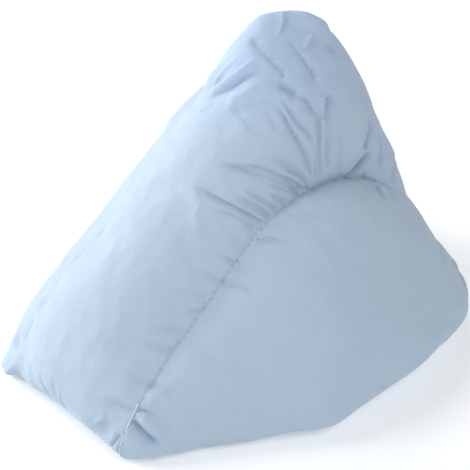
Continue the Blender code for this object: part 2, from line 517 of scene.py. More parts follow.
# name, picture place, shift in x, y and z in mm, fade distance in mm
SHIFTS = number_table("""
top_left 268 20 -2.6 1.9 3.6 13
top_right 306 19 1.2 -0.9 4.2 12
top_shoulder 319 28 3.4 -2.5 1.2 8
top_step 335 48 -3.4 2.5 -0.8 6
upper_right_slope 358 80 -1.8 1.3 0 12
shoulder_edge 213 79 -2.6 1.9 0.6 9
upper_left_edge 182 118 -4.4 3.3 1 26
upper_right_edge 386 149 2.4 -1.8 0 11
under_upper_right 391 162 1.4 -1 0 14
notch 418 218 -5 3.8 0 18
right_edge_low 441 263 1.2 -0.9 0 16
right_tip 461 303 3.6 -2.6 0 16
right_belly 424 350 2.8 -3.2 0 26
right_foot 370 391 -3 4 0 16
right_foot_near 326 421 0.8 -3.2 0 16
near_foot 320 412 0.6 -3.6 0 30
near_foot_front 232 432 0 -2.4 0 34
near_foot_corner 165 446 0.4 -3 0 22
front_foot 50 388 -4.4 -0.6 0 24
front_foot_far 32 380 -1.6 -1.6 0 10
front_foot_near 86 418 -3.6 -1 0 20
far_corner 6 364 -1.6 -4.6 0 9
far_corner_low 11 368 -5 1.2 0 8
far_corner_high 10 348 1.6 -1.2 0 7
left_edge_low 17 340 2.4 -1.8 0 20
left_edge_middle 70 262 -3.2 2.4 0 26
left_edge_high 103 214 3.2 -2.3 0 20
""")
settle_tree = cloth_tree(cover.data)
settled = fine.copy()
for x, y, *offset, fade in SHIFTS.values():
    middle = np.array(seen_at(settle_tree, x, y))
    share = np.exp(-np.sum((fine - middle) ** 2, axis=1) / (fade * MM) ** 2)
    settled += share[:, None] * np.array(offset) * MM
settled[:, 2] = np.maximum(settled[:, 2], 0)
fine = settled
cover.data.vertices.foreach_set("co", fine.ravel())
cover.data.update()
tree = cloth_tree(cover.data)
print("broad shifts:", len(SHIFTS))

# %% Lines on the cloth
LINE_STEP = 0.6
SHARE_STEP = 0.01
CALM_OVER = 9


def smooth_line(points, step):
    """A smooth curve through a few points, as many points a step apart."""
    given = np.array(points, float)
    spans = np.linalg.norm(np.diff(given, axis=0), axis=1)
    knots = np.concatenate([[0], np.cumsum(spans)])
    places = np.linspace(0, knots[-1], max(int(knots[-1] / step), 4))
    if len(given) == 2:
        return given[0] + (given[1] - given[0]) * (places / knots[-1])[:, None]
    return smooth_rows(knots, given, places)


def calmed(line):
    """A line with its small jumps averaged away."""
    if len(line) < CALM_OVER:
        return line
    ends = CALM_OVER // 2
    padded = np.pad(line, ((ends, ends), (0, 0)), mode="edge")
    even = np.ones(CALM_OVER) / CALM_OVER
    return np.column_stack([np.convolve(padded[:, axis], even, "valid") for axis in range(3)])


def seen_points(cloth, places):
    """The points of the cloth that the camera sees along a smooth line in the picture."""
    hits = [seen_at(cloth, x, y) for x, y in smooth_line(places, LINE_STEP)]
    return np.array([hit for hit in hits if hit is not None])


def laid_line(piece, places):
    """The line on a pattern piece through places given as shares along and across it."""
    grid = grids[piece]
    shares = across_shares if piece == BAND_FACE else up_shares
    found = []
    for along, across in smooth_line(places, SHARE_STEP):
        column = (along % 2.0) * STEPS_ALONG
        row = np.interp(across, shares, np.arange(len(shares)))
        i, j = min(int(column), len(grid) - 2), min(int(row), len(shares) - 2)
        corners = puffed_points[grid[i:i + 2, j:j + 2]]
        low, high = corners[0] + (corners[1] - corners[0]) * (column - i)
        found.append(tree.find_nearest(low + (high - low) * (row - j))[0])
    return calmed(np.array(found))

# %% [markdown]
# ## The folds that the camera sees
# Each fold is written as the maker would point at it: how deep and wide it is, in
# millimetres, how sharp its bottom is, which way it leans, how soon it fades at both ends,
# and a few places in the picture. A fold of negative depth is a ridge. The line of sight
# carries each place onto the cloth, so a fold lies on the surface from any side.

# %% Reading a table of folds
BOTH = None
FOLD_PIECES = {"band": BAND_FACE, "near": NEAR_FACE, "far": FAR_FACE, "both": BOTH}


def fold_table(text):
    """Folds from lines of: name, piece, depth, width, sharp, lean, fade in, fade out, places."""
    rows = []
    for line in text.strip().splitlines():
        name, piece, *words = line.split()
        shape = [float(word) for word in words[:6]]
        places = [[float(part) for part in word.split(",")] for word in words[6:]]
        rows.append((FOLD_PIECES[piece], *shape, places))
    return rows

# %% Folds on the slope and gathers at its seam
seen_folds = fold_table("""
slope_fold band 2.3 1.5 1 0.1 0.28 0.08 189,183.5 203,191 220,201 237,209 253,217.5 267,225
slope_fold_lip band -0.8 1.5 0.2 0 0.3 0.15 203,194.5 220,205 237,213.5 257,225
slope_fold_twin band 1.3 1.5 0.55 0 0.3 0.15 212,206 228,214 245,223 259,232
slope_fold_above band 2.1 2 0.45 0.2 0.5 0.08 228,191 248,202 263,211 273,218
slope_fold_third band 1.9 2 0.4 0 0.5 0.1 238,189 257,197.5 268,204 279,211
slope_fold_fourth band 1.5 2 0.4 0 0.5 0.1 262,191 275,197 287,204
gather_low band 2.2 2 0.6 0 0.5 0.05 254,181 263,183 278,188 293,193 300,196.5
gather_long band 2.75 2 0.6 0 0.3 0.05 212,165 237,168 258,175 277,181 292,188 303,195
gather_arched band 2.88 2 0.6 0 0.3 0.05 236,163 253,167 270,172 287,180 302,190.5
gather_short band 2.4 1.4 0.75 0 0.3 0.05 280,166 293,173 303,180 309,191
gather_double band 2.5 1.4 0.7 0 0.3 0.05 284,176 297,183 305,191.5
gather_high band 1.8 2 0.35 0 0.5 0.1 262,155 280,161 298,171 310,184
""")
print("folds on the slope:", len(seen_folds))

# %% Gathers down the crest, and its top
seen_folds += fold_table("""
crest_long band 2.4 1.3 0.8 -0.2 0.25 0.08 275,102 285,118 293,133 303,150 308,163 312.5,178
crest_second band 2 1.2 0.75 0 0.3 0.2 280,93 287,107 295,120 307,132 316,147
crest_third band 2.38 1.5 0.6 0 0.25 0.2 298,95 305,99 312,108 317,115 317,130
crest_thread band 2.25 1.2 0.8 0 0.25 0.1 320,98 320.5,120 319.5,145 320,160 321,178
crest_ridge band -1.88 1.9 0.3 0 0.25 0.15 322,84 324,105 323.5,135 324,168
crest_cut band 3.4 1.7 0.7 0.2 0.25 0.25 331,91 328,103 326,115 325,126
crest_fourth band 1.88 1.7 0.5 0 0.3 0.2 327,134 326.5,150 328,170
crest_ridge_right band -1 2.2 0.2 0 0.3 0.2 336,96 334,120 333,150
crest_fifth band 1.38 1.8 0.45 0 0.4 0.1 342,128 342,152 339,178
crest_narrow band 1.62 1.2 0.7 0 0.4 0.1 315,148 316.5,163 316,180
crest_left_line band 1.12 1.5 0.5 0 0.4 0.3 259,103 270,117 279,134
top_fold band 2 1.4 0.7 0.3 0.15 0.12 252,38 258,48 268,57 277,66 284,74 285,81
top_hollow band 0.9 3.6 0.2 0 0.3 0.4 248,40 255,41 259,47
top_pinch band 2.8 2.6 0.5 0 0.3 0.3 277,81 285,87.5 292,90 299,99
top_fold_right band 2 1.2 0.8 0.2 0.15 0.1 284,40 293,46 302,56 309,67 315,78 319,87
top_patch band 1.4 2.2 0.4 0 0.4 0.4 308,73 311,80 314,89
top_ridge band -1.7 1.2 0.7 0.2 0.05 0.3 284,11 282,25 277,37
top_ridge_right band -2 1.3 0.6 0 0.35 0.3 313.5,32 308,42 303.5,50
""")
print("folds with the crest:", len(seen_folds))

# %% The far shoulder, and the deep fold where the crest turns back
seen_folds += fold_table("""
shoulder_ridge band -2.3 2.3 0.2 0.3 0.2 0.4 207,94 222,85 235,75 247,66 260,59
shoulder_ridge_top band -1 1.4 0.5 0 0.15 0.4 212,86 219,77 228,66 240,54
shoulder_valley band 1.5 1.4 0.6 0.1 0.3 0.4 206,100 220,93 234,84 248,75 264,66
shoulder_swell band -2.3 4 0.15 0 0.25 0.3 222,105 238,98 255,89 278,81
shoulder_low_ridge band -0.9 1.4 0.5 0 0.3 0.4 196,113 207,107 216,101
slope_line band 0.8 1.1 0.8 0 0.15 0.25 231,106 242,118 253,130 266,140
deep_fold band 6.4 2.1 0.8 0 0.03 0.3 350,177.5 357,169 365,159.5 374,149
deep_fold_upper band 5.6 1.8 0.8 0 0.2 0.4 365,150 368.5,139 371,127 370,112
deep_swell band -0.8 4 0.1 0 0.3 0.3 360,132 355,150 346,168
back_fold_seen band 2.38 1.8 0.6 0 0.25 0.2 377,130 381,142 382,153 379,170
back_ridge_seen band -1.3 1.8 0.3 0 0.3 0.3 374,134 377,146 377,158
""")
print("folds with the shoulder:", len(seen_folds))

# %% Puckers across the straight seam
seen_folds += fold_table("""
pucker_top near 2.8 1.5 0.9 0 0.03 0.6 256,239.5 266,239.5 278,240.5 292,240
pucker_second both 1.9 1.6 0.75 0 0.5 0.35 215,250 225,257.5 233,262.5 240,264 249,267
pucker_third both 1.9 1.9 0.5 0 0.5 0.5 190,266 205,273 222,282.5 233,283 248,288 268,297
pucker_third_ridge near -1.4 1.5 0.4 0 0.1 0.6 230,272 240,274 252,277
pucker_fourth band 1.6 2.2 0.3 0 0.75 0.1 168,290 192,293 210,297
pucker_fifth band 1.76 1.8 0.35 0 0.75 0.05 186,309 194,311 203,312
pucker_sixth band 1.6 3 0.2 0 0.75 0.1 142,325 167,328 188,333
pucker_seventh band 1.92 3 0.2 0 0.75 0.1 130,337 150,344 176,352
pucker_fine_one band 1.44 1.5 0.5 0 0.75 0.05 172,344 179,347 187,349
pucker_fine_two band 1.44 1.5 0.5 0 0.75 0.05 176,297 190,300 207,304
pucker_fine_three band 1.44 1.6 0.4 0 0.75 0.05 148,357 160,361 170,362
pucker_lobe_low near -1.44 3.2 0.1 0 0.3 0.5 158,387 170,383 188,380
pucker_lobe_lower near -1.44 3 0.1 0 0.3 0.5 144,403 158,397 176,397
pucker_lobe_high near -1.6 3.2 0.1 0 0.3 0.5 222,294 234,290 252,292
pucker_eighth both 1.7 2.4 0.3 0 0.6 0.5 108,373 133,380 153,385 184,392
pucker_ninth band 2 2.4 0.35 0 0.6 0.05 92,402 117,405 134,410
pucker_ninth_panel near 2.56 1.5 0.6 0 0.05 0.6 137,409.5 147,412.5 160,419
""")
print("folds with the puckers:", len(seen_folds))

# %% The lower corner, the front edge and the end panel
seen_folds += fold_table("""
corner_crease near 3.2 2.8 0.5 0.2 0.1 0.45 131,419.5 139,428 150,438.5 164,450.5
corner_crease_shade near 1.6 3.6 0 0 0.2 0.3 132,424 140,432 150,441 162,451
corner_crease_lip near -1.6 4 0.1 0 0.2 0.4 140,415 153,426 171,438
ear_line band 2 1.3 0.7 0 0.1 0.25 110,448 115,441 120,433
ear_ridge band -1.4 1.5 0.5 0 0.3 0.3 92,424.5 98,421 107,418
ear_hollow band 0.9 4.6 0.3 0 0.2 0.3 99,434 104,428 112,424
edge_wrinkle_far band 0.8 1.2 0.5 0 0.6 0.05 22,352 24,370 28,383
edge_wrinkle_mid band 0.9 1.2 0.6 0 0.6 0.05 39,366 44,387 53,399
edge_wrinkle_near band 0.7 1.2 0.5 0 0.6 0.05 63,386 62,402 68,411
edge_line_one band 0.7 1.5 0.5 0 0.5 0.3 31,350 30,366 35,384
edge_line_two band 0.7 1.6 0.5 0 0.5 0.3 55,372 54,388 60,402
panel_dent near 4.2 2 0.6 0 0.05 0.5 373,185 376,195 379,208
panel_dent_right near 1.3 2.2 0.4 0 0.05 0.5 381,189 386,198 388,208
panel_soft_line near 0.7 4.4 0.2 0 0.4 0.5 306,230 324,239 336,252 346,272
panel_lobe_high near -0.9 3.6 0.1 0 0.3 0.3 296,204 306,203 316,201
panel_lobe_middle near -0.9 3.6 0.1 0 0.3 0.3 276,220 284,215 292,213
panel_lobe_low near -1.1 4.2 0.1 0 0.3 0.3 262,236 270,230 280,228
panel_between_lobes near 0.8 2 0.4 0 0.1 0.5 282,210 290,216 302,219
""")
print("folds that the camera sees:", len(seen_folds))

# %% [markdown]
# ## The folds behind
# The far side, the back and the underside aren't in the picture, so their folds are drawn
# on the pattern pieces instead. They follow the same logic as the seen ones: gathers that
# fan out of the crest seam, a deep fold where the crest turns, and soft lines low down.
# Small tucks at uneven distances along both seams are scattered with a fixed seed.

# %% Hidden folds
hidden_folds = fold_table("""
far_crest_fold band 3.6 2.8 0.7 0.2 0.3 0.05 0.6,0.72 0.615,0.84 0.61,0.93 0.6,0.99
far_crest_second band 1.8 2.2 0.4 0 0.4 0.05 0.585,0.86 0.58,0.92 0.575,0.99
far_back_fold band 3 2.8 0.6 -0.2 0.3 0.05 0.69,0.66 0.67,0.8 0.66,0.92 0.655,0.99
back_long band 1.6 4.6 0.1 0 0.3 0.4 0.66,0.3 0.71,0.34 0.76,0.33 0.82,0.36
back_middle band 1.4 4.8 0.1 0.1 0.35 0.4 0.65,0.5 0.7,0.52 0.77,0.49 0.84,0.52
back_right band 1.4 4.4 0.1 0 0.35 0.4 0.67,0.68 0.72,0.66 0.78,0.7
back_near_gather band 2 2.8 0.35 0 0.4 0.05 0.74,0.22 0.73,0.12 0.715,0.01
back_near_second band 1.6 2.6 0.5 0 0.4 0.05 0.8,0.2 0.79,0.1 0.775,0.01
back_low_line band 1.3 3.4 0.3 0 0.4 0.4 0.9,0.2 0.93,0.42 0.91,0.66 0.93,0.84
back_corner_near band 1.8 3 0.4 0 0.3 0.1 0.94,0.2 0.97,0.1 0.985,0.01
back_corner_far band 2 3 0.4 0 0.3 0.1 0.93,0.78 0.96,0.9 0.98,0.99
far_panel_pull far 2.2 2.8 0.5 0 0.1 0.5 0.59,0.97 0.6,0.84 0.58,0.68
far_panel_second far 1.8 2.2 0.6 0 0.1 0.5 0.5,0.98 0.485,0.86 0.45,0.76
far_panel_back far 1.8 2.4 0.5 0 0.1 0.5 0.69,0.97 0.68,0.86 0.655,0.74
far_panel_soft far 1.2 5 0.2 0 0.4 0.4 0.35,0.5 0.48,0.44 0.62,0.47
far_front_corner far 0.7 3 0.5 0 0.1 0.3 0.05,0.96 0.08,0.7 0.1,0.4
far_back_corner far 2 3.2 0.4 0 0.1 0.4 0.95,0.9 0.92,0.65 0.88,0.48
near_back_corner near 1.6 3.2 0.3 0 0.1 0.4 0.96,0.86 0.93,0.62 0.89,0.48
near_back_pull near 1.5 3 0.4 0 0.1 0.5 0.8,0.97 0.79,0.84 0.76,0.72
under_long band 1.2 3 0.4 0 0.4 0.4 1.18,0.3 1.4,0.36 1.62,0.28
under_cross band 1.2 3 0.4 0 0.4 0.4 1.3,0.62 1.42,0.7 1.6,0.66
""")
TUCK_SEED = 41
TUCKS_A_SEAM = 34
TUCK_SHAPE = (0.35, 0, 0.6, 0.05)
SEEN_TO = {NEAR_FACE: 0.74, FAR_FACE: 0.5}
random_tucks = np.random.default_rng(TUCK_SEED)


def tuck_folds():
    """Short shallow tucks across both seams, left out where the camera's own folds are."""
    tucks = []
    for panel, edge in ((NEAR_FACE, 0.0), (FAR_FACE, 1.0)):
        for number in range(TUCKS_A_SEAM):
            along = (number + random_tucks.uniform(0.15, 0.85)) / TUCKS_A_SEAM * 2
            depth, width, skew = random_tucks.uniform((0.4, 1.5, -0.012), (1.1, 2.6, 0.012))
            reach = random_tucks.uniform(0.05, 0.14)
            if along < SEEN_TO[panel]:
                continue
            inward = reach if edge == 0 else 1 - reach
            places = ((along + skew, inward), (along, abs(edge - 0.002)))
            tucks.append((BAND_FACE, depth, width, *TUCK_SHAPE, places))
    return tucks


hidden_folds += tuck_folds()
print("hidden folds and tucks:", len(hidden_folds))

# %% Every fold as a line
fold_lines = [(fold[:-1], calmed(seen_points(tree, fold[-1]))) for fold in seen_folds]
fold_lines += [(fold[:-1], laid_line(fold[0], fold[-1])) for fold in hidden_folds]
folds = [(row, line) for row, line in fold_lines if len(line) > 3]
print("folds found on the cloth:", len(folds))

# %% [markdown]
# ## Finer cloth where it creases
# A crease on this cotton is only two or three millimetres wide, and the grid's squares are
# nearly as wide, so a diagonal crease would come out as a saw. Making the whole cover finer
# is wasteful. Instead the squares along each sharp crease and along the seams are split
# once more, which leaves the smooth cloth between them light.

# %% Splitting the squares along sharp folds and seams
def seam_line(touches, points, panel):
    """The seam of one end panel as a closed ring of point numbers, from the front corner."""
    on_seam = set(np.flatnonzero(touches[:, BAND_FACE] & touches[:, panel]).tolist())
    links = {index: [] for index in on_seam}
    for edge in cover.data.edges:
        a, b = edge.vertices
        if a in on_seam and b in on_seam:
            links[a].append(b)
            links[b].append(a)
    corner = cover_points[(near_seam if panel == NEAR_FACE else far_seam)[[0, 1]]]
    ring = [min(on_seam, key=lambda i: float(np.sum((points[i] - corner[0]) ** 2)))]
    ring.append(min(links[ring[0]], key=lambda i: float(np.sum((points[i] - corner[1]) ** 2))))
    while True:
        onward = [i for i in links[ring[-1]] if i != ring[-2]]
        if not onward or onward[0] == ring[0]:
            return np.array(ring)
        ring.append(onward[0])


def near_lines(points, lines_and_reaches):
    """Which points lie within reach of any of the lines."""
    close = np.zeros(len(points), bool)
    for line, reach in lines_and_reaches:
        low, high = line.min(axis=0) - reach, line.max(axis=0) + reach
        inside = np.flatnonzero(((points > low) & (points < high)).all(axis=1))
        for index in inside:
            close[index] |= np.min(np.sum((line - points[index]) ** 2, axis=1)) < reach**2
    return close


def split_squares(mesh, close):
    """Split every edge between close points once."""
    shape = bmesh.new()
    shape.from_mesh(mesh)
    shape.verts.ensure_lookup_table()
    edges = [e for e in shape.edges if close[e.verts[0].index] and close[e.verts[1].index]]
    bmesh.ops.subdivide_edges(shape, edges=edges, cuts=1, use_grid_fill=True)
    shape.to_mesh(mesh)
    shape.free()


# for each round of splitting: the least sharp fold, how many fold widths and how many more
# millimetres it reaches, and how far it goes from the near seam and from the far one
SPLIT_ROUNDS = ((0.4, 1.4, 1.8, 2.4, 2.0), (0.6, 0.9, 0.5, 1.1, 0.0))
seam_rings = {
    panel: fine[seam_line(touches, fine, panel)] for panel in (NEAR_FACE, FAR_FACE)
}
for sharpness, widths, more, near_reach, far_reach in SPLIT_ROUNDS:
    close_lines = [
        (line, (row[2] * widths + more) * MM) for row, line in folds if row[3] >= sharpness
    ]
    close_lines += [
        (seam_rings[NEAR_FACE], near_reach * MM), (seam_rings[FAR_FACE], far_reach * MM),
    ]
    split_squares(cover.data, near_lines(fine, close_lines))
    fine = read_points(cover.data)
    print("split to", sum(len(p.vertices) - 2 for p in cover.data.polygons), "triangles")
touches = pieces_at_points(cover.data)

# %% [markdown]
# ## Pressing the folds in
# A fold's cross section is a trough with a lip on each side, because cloth that goes down
# in one place has to come up beside it. A sharp fold gets a pointed bottom, a soft one a
# round one, and a leaning fold is steeper on one side. The troughs of all folds are added up
# and pushed along the direction that the cloth faces. The lip's place and width, and how far
# a fold reaches, are in widths of the fold.

# %% Fold shapes
LIP = 0.28
LIP_AT = 2.3
LIP_WIDTH = 0.9
FOLD_REACH = 4.5


def eased(share):
    """0 to 1 with a soft start and end."""
    share = np.clip(share, 0, 1)
    return share * share * (3 - 2 * share)


def fold_shift(points, normals, allowed, row, line):
    """How far a fold moves each point along its normal, in metres."""
    piece, depth, width, sharp, lean, fade_in, fade_out = row
    width = width * MM
    reach = width * FOLD_REACH
    shift = np.zeros(len(points))
    low, high = line.min(axis=0) - reach, line.max(axis=0) + reach
    near = np.flatnonzero(((points > low) & (points < high)).all(axis=1) & allowed)
    if not len(near):
        return shift
    step = points[near][:, None] - line[None]
    gap = np.sum(step**2, axis=2)
    closest = np.argmin(gap, axis=1)
    gap = np.sqrt(gap[np.arange(len(near)), closest])
    heading = np.gradient(line, axis=0)[closest]
    beside = np.cross(heading, normals[near])
    side = np.sign(np.sum(step[np.arange(len(near)), closest] * beside, axis=1))
    part = gap / (width * (1 + lean * side))
    pointed = np.exp(-1.25 * part)
    rounded = np.exp(-part**2)
    trough = sharp * pointed + (1 - sharp) * rounded
    lip = LIP * np.exp(-((part - LIP_AT) / LIP_WIDTH) ** 2)
    place = closest / (len(line) - 1)
    fade = eased(place / max(fade_in, 0.01)) * eased((1 - place) / max(fade_out, 0.01))
    shift[near] = -depth * MM * fade * (trough - lip)
    return shift


def piece_masks(touches, seam_gap, soft):
    """For each pattern piece, a share that is 1 on it and falls to 0 at its seams."""
    off_seams = np.where(touches.sum(axis=1) > 1, 0.0, eased(seam_gap / soft))
    return {piece: touches[:, piece] * off_seams for piece in (BAND_FACE, NEAR_FACE, FAR_FACE)}

# %% Seam grooves
# share along the seam from the front corner, depth and width in mm, depth of the needle dents
NEAR_GROOVE = (
    (0.00, 1.3, 1.6, 0.0), (0.06, 0.9, 1.3, 0.5), (0.12, 0.1, 0.9, 1.3), (0.30, 0.1, 0.9, 1.4),
    (0.44, 0.5, 1.0, 0.7), (0.50, 2.3, 1.0, 0.1), (0.54, 4.6, 1.3, 0.0), (0.61, 6.0, 1.4, 0.0),
    (0.65, 3.0, 1.2, 1.0), (0.72, 2.0, 1.1, 2.2), (0.85, 0.9, 1.3, 0.5), (1.00, 1.6, 1.6, 0.2),
    (1.10, 0.8, 1.4, 0.3), (1.90, 0.8, 1.4, 0.3), (2.00, 1.3, 1.6, 0.0),
)
# a groove of negative depth lifts the seam, where the filling presses it out
FAR_GROOVE = (
    (0.00, 0.3, 1.6, 0.0), (0.06, -1.4, 3.0, 0.0), (0.34, -1.8, 3.5, 0.0), (0.46, -2.2, 4.0, 0.0),
    (0.54, -0.4, 2.0, 0.0), (0.60, 2.6, 1.5, 0.0), (0.68, 2.4, 1.5, 0.3), (0.80, 1.3, 1.4, 0.8),
    (1.00, 1.6, 1.6, 0.2), (1.10, 0.8, 1.4, 0.3), (1.90, 0.8, 1.4, 0.3), (2.00, 0.3, 1.6, 0.0),
)
GROOVES = {NEAR_FACE: np.array(NEAR_GROOVE), FAR_FACE: np.array(FAR_GROOVE)}
GROOVE_DEPTH, GROOVE_WIDTH, HOLE_DENT = 1, 2, 3


def seam_places(ring):
    """How far round each point of a seam is: 0 front corner, 1 back corner, 2 front again."""
    back = int(np.argmax(ring[:, 0] - ring[:, 2] * 0.5))
    steps = np.linalg.norm(np.diff(ring, axis=0, append=ring[:1]), axis=1)
    run = np.concatenate([[0], np.cumsum(steps)])
    return np.interp(run[:-1], (0, run[back], run[-1]), (0, 1, 2))


seam_shares = {panel: seam_places(ring) for panel, ring in seam_rings.items()}


def groove_at(panel, nearest, column):
    """A column of a seam's groove table, read at the given points of the seam."""
    table = GROOVES[panel]
    return np.interp(seam_shares[panel][nearest], table[:, 0], table[:, column])


def groove_shift(points, panel):
    """The groove that one seam draws into the cloth, and each point's gap to that seam."""
    gap, nearest = distance_to(points, seam_rings[panel])
    part = gap / (groove_at(panel, nearest, GROOVE_WIDTH) * MM)
    trough = 0.7 * np.exp(-1.2 * part) + 0.3 * np.exp(-part**2)
    return -groove_at(panel, nearest, GROOVE_DEPTH) * MM * trough, gap

# %% Needle holes
DENT_REACH = 0.95 * MM
STITCH_MM = 4.4
HOLE_SEEN = 0.25


def along_line(line, run, places):
    """Points at given distances along a line."""
    return np.column_stack([np.interp(places, run, line[:, axis]) for axis in range(3)])


def line_run(line):
    """The distance from a line's start to each of its points."""
    return np.concatenate([[0], np.cumsum(np.linalg.norm(np.diff(line, axis=0), axis=1))])


def needle_holes(ring, panel):
    """Where the holes of one seam are, and how deep the cloth is drawn in at each."""
    line = fine[np.append(ring, ring[0])]
    run = line_run(line)
    places = np.arange(0, run[-1], STITCH_MM * MM)
    holes = along_line(line, run, places)
    nearest = distance_to(holes, seam_rings[panel])[1]
    return holes, groove_at(panel, nearest, HOLE_DENT)


final_rings = {panel: seam_line(touches, fine, panel) for panel in (NEAR_FACE, FAR_FACE)}
hole_rows = {panel: needle_holes(ring, panel) for panel, ring in final_rings.items()}
print("needle holes:", sum(len(row[0]) for row in hole_rows.values()))

# %% Moving the cloth
# how deep a point must be pressed in for the painted shade in folds to be full
FOLD_SHADE_MM = 5.0
UNEVEN_MM = 0.45
UNEVEN_REACH = 14 * MM
SWELL_MM = 7.5
SWELL_REACH = 27 * MM
SWELL_ABOVE = 35 * MM
MASK_REACH = 1.6 * MM
normals = read_rows(cover.data.vertex_normals, "vector")
near_groove, near_gap = groove_shift(fine, NEAR_FACE)
far_groove, far_gap = groove_shift(fine, FAR_FACE)
seam_gap_fine = np.minimum(near_gap, far_gap)
masks = piece_masks(touches, seam_gap_fine, MASK_REACH)
shift = near_groove + far_groove
# the filling swells the near end panel just below its upper seam
upper_seam = seam_rings[NEAR_FACE][seam_shares[NEAR_FACE] <= 1]
upper_gap, nearest_upper = distance_to(fine, upper_seam)
upper_share = nearest_upper / (len(upper_seam) - 1)
part = upper_gap / SWELL_REACH
ends = eased(upper_share / 0.2) * eased((1 - upper_share) / 0.25)
rise = ends * eased(fine[:, 2] / SWELL_ABOVE) * part * np.exp(0.5 - part**2 / 2)
shift += np.where(touches[:, NEAR_FACE], SWELL_MM * MM * rise, 0)
for row, line in folds:
    piece = row[0]
    if piece is BOTH:
        shift += fold_shift(fine, normals, np.ones(len(fine), bool), row, line)
    else:
        shift += fold_shift(fine, normals, touches[:, piece], row, line) * masks[piece]
for index, point in enumerate(fine):
    place = Vector(point) / UNEVEN_REACH
    shift[index] += UNEVEN_MM * MM * noise.fractal(place, 1.0, 2.0, 3)
holes = np.concatenate([row[0] for row in hole_rows.values()])
dents = np.concatenate([row[1] for row in hole_rows.values()])
hole_gap, nearest_hole = distance_to(fine, holes)
shift -= dents[nearest_hole] * MM * np.exp(-(hole_gap / DENT_REACH) ** 2)
creased = fine + normals * shift[:, None]
creased[:, 2] = np.maximum(creased[:, 2], 0)
cover.data.vertices.foreach_set("co", creased.ravel())
cover.data.update()
# painted shade: how far each point is pressed in by folds, grooves and needle dents, which the
# cotton turns into a darker colour
fold_shade = cover.data.attributes.new("fold_shade", "FLOAT", "POINT")
fold_shade.data.foreach_set("value", np.clip(-shift / (FOLD_SHADE_MM * MM), 0, 1).astype(np.float32))
print("folds go down %.1f mm and up %.1f mm" % (shift.min() / MM, shift.max() / MM))

# %% [markdown]
# ## Sewing
# The band and the end panels are joined with a long machine stitch. Where the filling pulls
# the seam open, each needle hole shows as a small dent with a short length of thread sunk
# between one hole and the next. The threads are little tapered tubes laid along the seam.
# They are all joined in one mesh, because some hundreds of separate objects would be slow.

# %% Thread tubes
THREAD_SIDES = 6
THREAD_TAPER = 0.45


def tube(path, outward, radius):
    """Points and faces of a thin tube with closed, narrowing ends along a path."""
    path = np.array(path, float)
    ahead = np.gradient(path, axis=0)
    ahead /= np.maximum(np.linalg.norm(ahead, axis=1), 1e-12)[:, None]
    beside = np.cross(ahead, outward)
    beside /= np.maximum(np.linalg.norm(beside, axis=1), 1e-12)[:, None]
    upward = np.cross(beside, ahead)
    last = len(path) - 1
    turned = 2 * math.pi * np.arange(THREAD_SIDES) / THREAD_SIDES
    points, faces = [], []
    for step, middle in enumerate(path):
        size = radius * (THREAD_TAPER if step in (0, last) else 1.0)
        spokes = np.outer(np.cos(turned), beside[step]) + np.outer(np.sin(turned), upward[step])
        points.extend(middle + spokes * size)
    for a in range(last * THREAD_SIDES):
        b = a + 1 if (a + 1) % THREAD_SIDES else a + 1 - THREAD_SIDES
        faces.append((a, b, b + THREAD_SIDES, a + THREAD_SIDES))
    faces.append(tuple(range(THREAD_SIDES - 1, -1, -1)))
    faces.append(tuple(last * THREAD_SIDES + side for side in range(THREAD_SIDES)))
    return points, faces


def joined(parts):
    """Several lots of points and faces as one."""
    points, faces = [], []
    for more_points, more_faces in parts:
        start = len(points)
        points.extend(more_points)
        faces.extend(tuple(start + corner for corner in face) for face in more_faces)
    return points, faces

# %% Stitches along the seams
THREAD_RADIUS = 0.24 * MM
THREAD_SINK = 0.55 * MM
THREAD_RISE = 0.1 * MM
STITCH_SHARES = (0.10, 0.24, 0.5, 0.76, 0.90)


def stitches_along(line, outward, shown):
    """One short thread for each shown stitch, dipping into the cloth at both ends."""
    run = line_run(line)
    threads = []
    for number in np.flatnonzero(shown[:int(run[-1] / (STITCH_MM * MM))]):
        places = (number + np.array(STITCH_SHARES)) * STITCH_MM * MM
        path = along_line(line, run, places)
        up = along_line(outward, run, places)
        up /= np.linalg.norm(up, axis=1)[:, None]
        height = np.array([-THREAD_SINK, 0, THREAD_RISE, 0, -THREAD_SINK])
        path = path + up * height[:, None]
        if path[:, 2].min() > THREAD_RADIUS:
            threads.append(tube(path, up, THREAD_RADIUS))
    return threads


outward = read_rows(cover.data.vertex_normals, "vector")
threads = []
for panel, ring in final_rings.items():
    ring = np.append(ring, ring[0])
    shown = hole_rows[panel][1] > HOLE_SEEN
    threads += stitches_along(creased[ring], outward[ring], shown)
final_tree = cloth_tree(cover.data)
front_rows = [puffed_points[row * AROUND] for row in range(STEPS_ACROSS + 1)]
front_hits = [final_tree.find_nearest(tree.find_nearest(point)[0]) for point in front_rows]
front_line = np.array([hit[0] for hit in front_hits])
front_up = np.array([hit[1] for hit in front_hits])
threads += stitches_along(front_line, front_up, np.ones(len(front_line) * 2, bool))
seam_stitches = make_mesh("seam_stitches", *joined(threads))
print("stitches:", len(threads))

# %% [markdown]
# ## The closing thread
# The cushion is filled through a gap at the lower end of the near seam. The gap is closed by
# hand with white thread, in long slanting stitches that leave one bright line in the valley.

# %% Closing thread
CLOSING_PLACES = (
    (138, 404), (135, 411), (130.5, 419), (126, 431), (121.5, 441), (120, 449), (120, 455),
)
CLOSING_RADIUS = 0.27 * MM
CLOSING_STITCH = 5.2 * MM
CLOSING_STEP = 0.5 * MM
CLOSING_WANDER = 0.1 * MM


def closing_path():
    """The closing thread's line, which dips at each stitch and wanders a little."""
    line = seen_points(final_tree, CLOSING_PLACES)
    run = line_run(line)
    places = np.arange(0, run[-1], CLOSING_STEP)
    line = along_line(line, run, places)
    up = np.array([final_tree.find_nearest(point)[1] for point in line])
    across = np.cross(np.gradient(line, axis=0), up)
    across /= np.linalg.norm(across, axis=1)[:, None]
    turns = places / CLOSING_STITCH * 2 * math.pi
    line += up * (CLOSING_RADIUS * (0.55 + 0.45 * np.cos(turns)))[:, None]
    line += across * (CLOSING_WANDER * np.sin(turns))[:, None]
    return line, up


